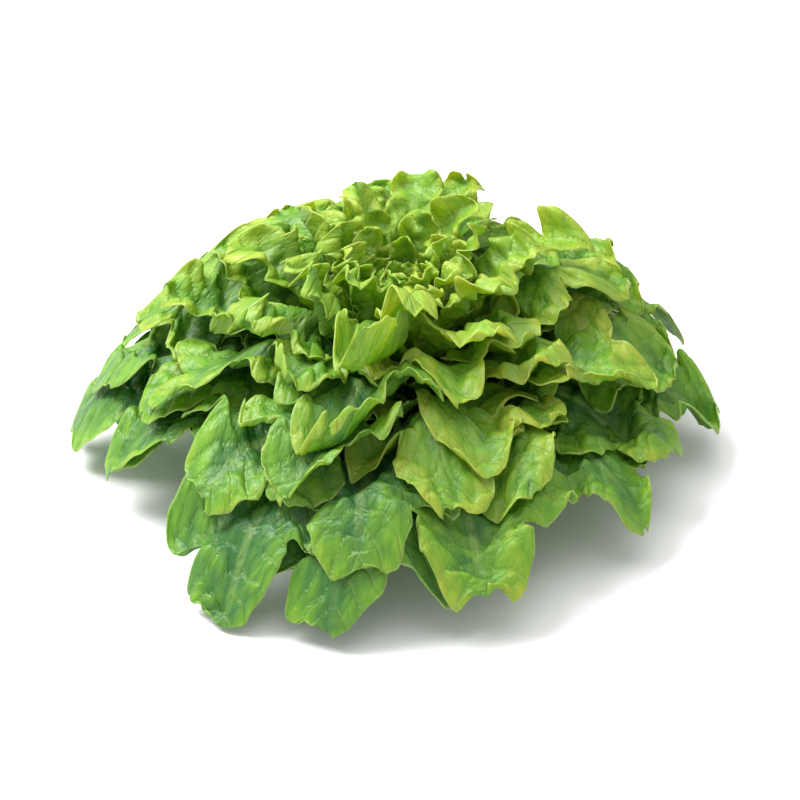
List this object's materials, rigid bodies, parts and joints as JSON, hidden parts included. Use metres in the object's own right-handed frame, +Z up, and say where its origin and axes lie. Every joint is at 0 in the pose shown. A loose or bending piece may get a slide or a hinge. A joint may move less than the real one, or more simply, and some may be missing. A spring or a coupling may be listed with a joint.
{
  "type": "butterhead lettuce, oak-leaf form",
  "caption": "Open head of loose lettuce with lobed, waved leaves in layers round a dense heart, on a short stem cut flat, lying on its cut face.",
  "frame": {"origin": "centre of the stem's cut face, on the surface that the head rests on", "axes": "+Z up through the heart, -Y towards the viewer of the picture, +X to the viewer's right"},
  "size_m": [0.2968, 0.2955, 0.1195],
  "materials": {
    "outer_leaf": "fresh leaf with a soft wet sheen",
    "middle_leaf": "fresh leaf with a soft wet sheen",
    "heart_leaf": "young leaf with a soft wet sheen",
    "stem": "matt cut stalk"
  },
  "bodies": {
    "root": {"leaf_01": "outer_leaf", "leaf_02": "outer_leaf", "leaf_03": "outer_leaf", "leaf_04": "outer_leaf", "leaf_05": "outer_leaf", "leaf_06": "outer_leaf", "leaf_07": "outer_leaf", "leaf_08": "outer_leaf", "leaf_09": "outer_leaf", "leaf_10": "outer_leaf", "leaf_11": "outer_leaf", "leaf_12": "outer_leaf", "leaf_13": "outer_leaf", "leaf_14": "outer_leaf", "leaf_15": "outer_leaf", "leaf_16": "outer_leaf", "leaf_17": "outer_leaf", "leaf_18": "outer_leaf", "leaf_19": "outer_leaf", "leaf_20": "outer_leaf", "leaf_21": "middle_leaf", "leaf_22": "middle_leaf", "leaf_23": "middle_leaf", "leaf_24": "middle_leaf", "leaf_25": "middle_leaf", "leaf_26": "middle_leaf", "leaf_27": "middle_leaf", "leaf_28": "middle_leaf", "leaf_29": "middle_leaf", "leaf_30": "middle_leaf", "leaf_31": "middle_leaf", "leaf_32": "middle_leaf", "leaf_33": "middle_leaf", "leaf_34": "middle_leaf", "leaf_35": "middle_leaf", "leaf_36": "middle_leaf", "leaf_37": "middle_leaf", "leaf_38": "middle_leaf", "leaf_39": "middle_leaf", "leaf_40": "middle_leaf", "leaf_41": "middle_leaf", "leaf_42": "middle_leaf", "leaf_43": "middle_leaf", "leaf_44": "middle_leaf", "leaf_45": "middle_leaf", "leaf_46": "middle_leaf", "heart": "heart_leaf", "stem": "stem"}
  },
  "joints": []
}
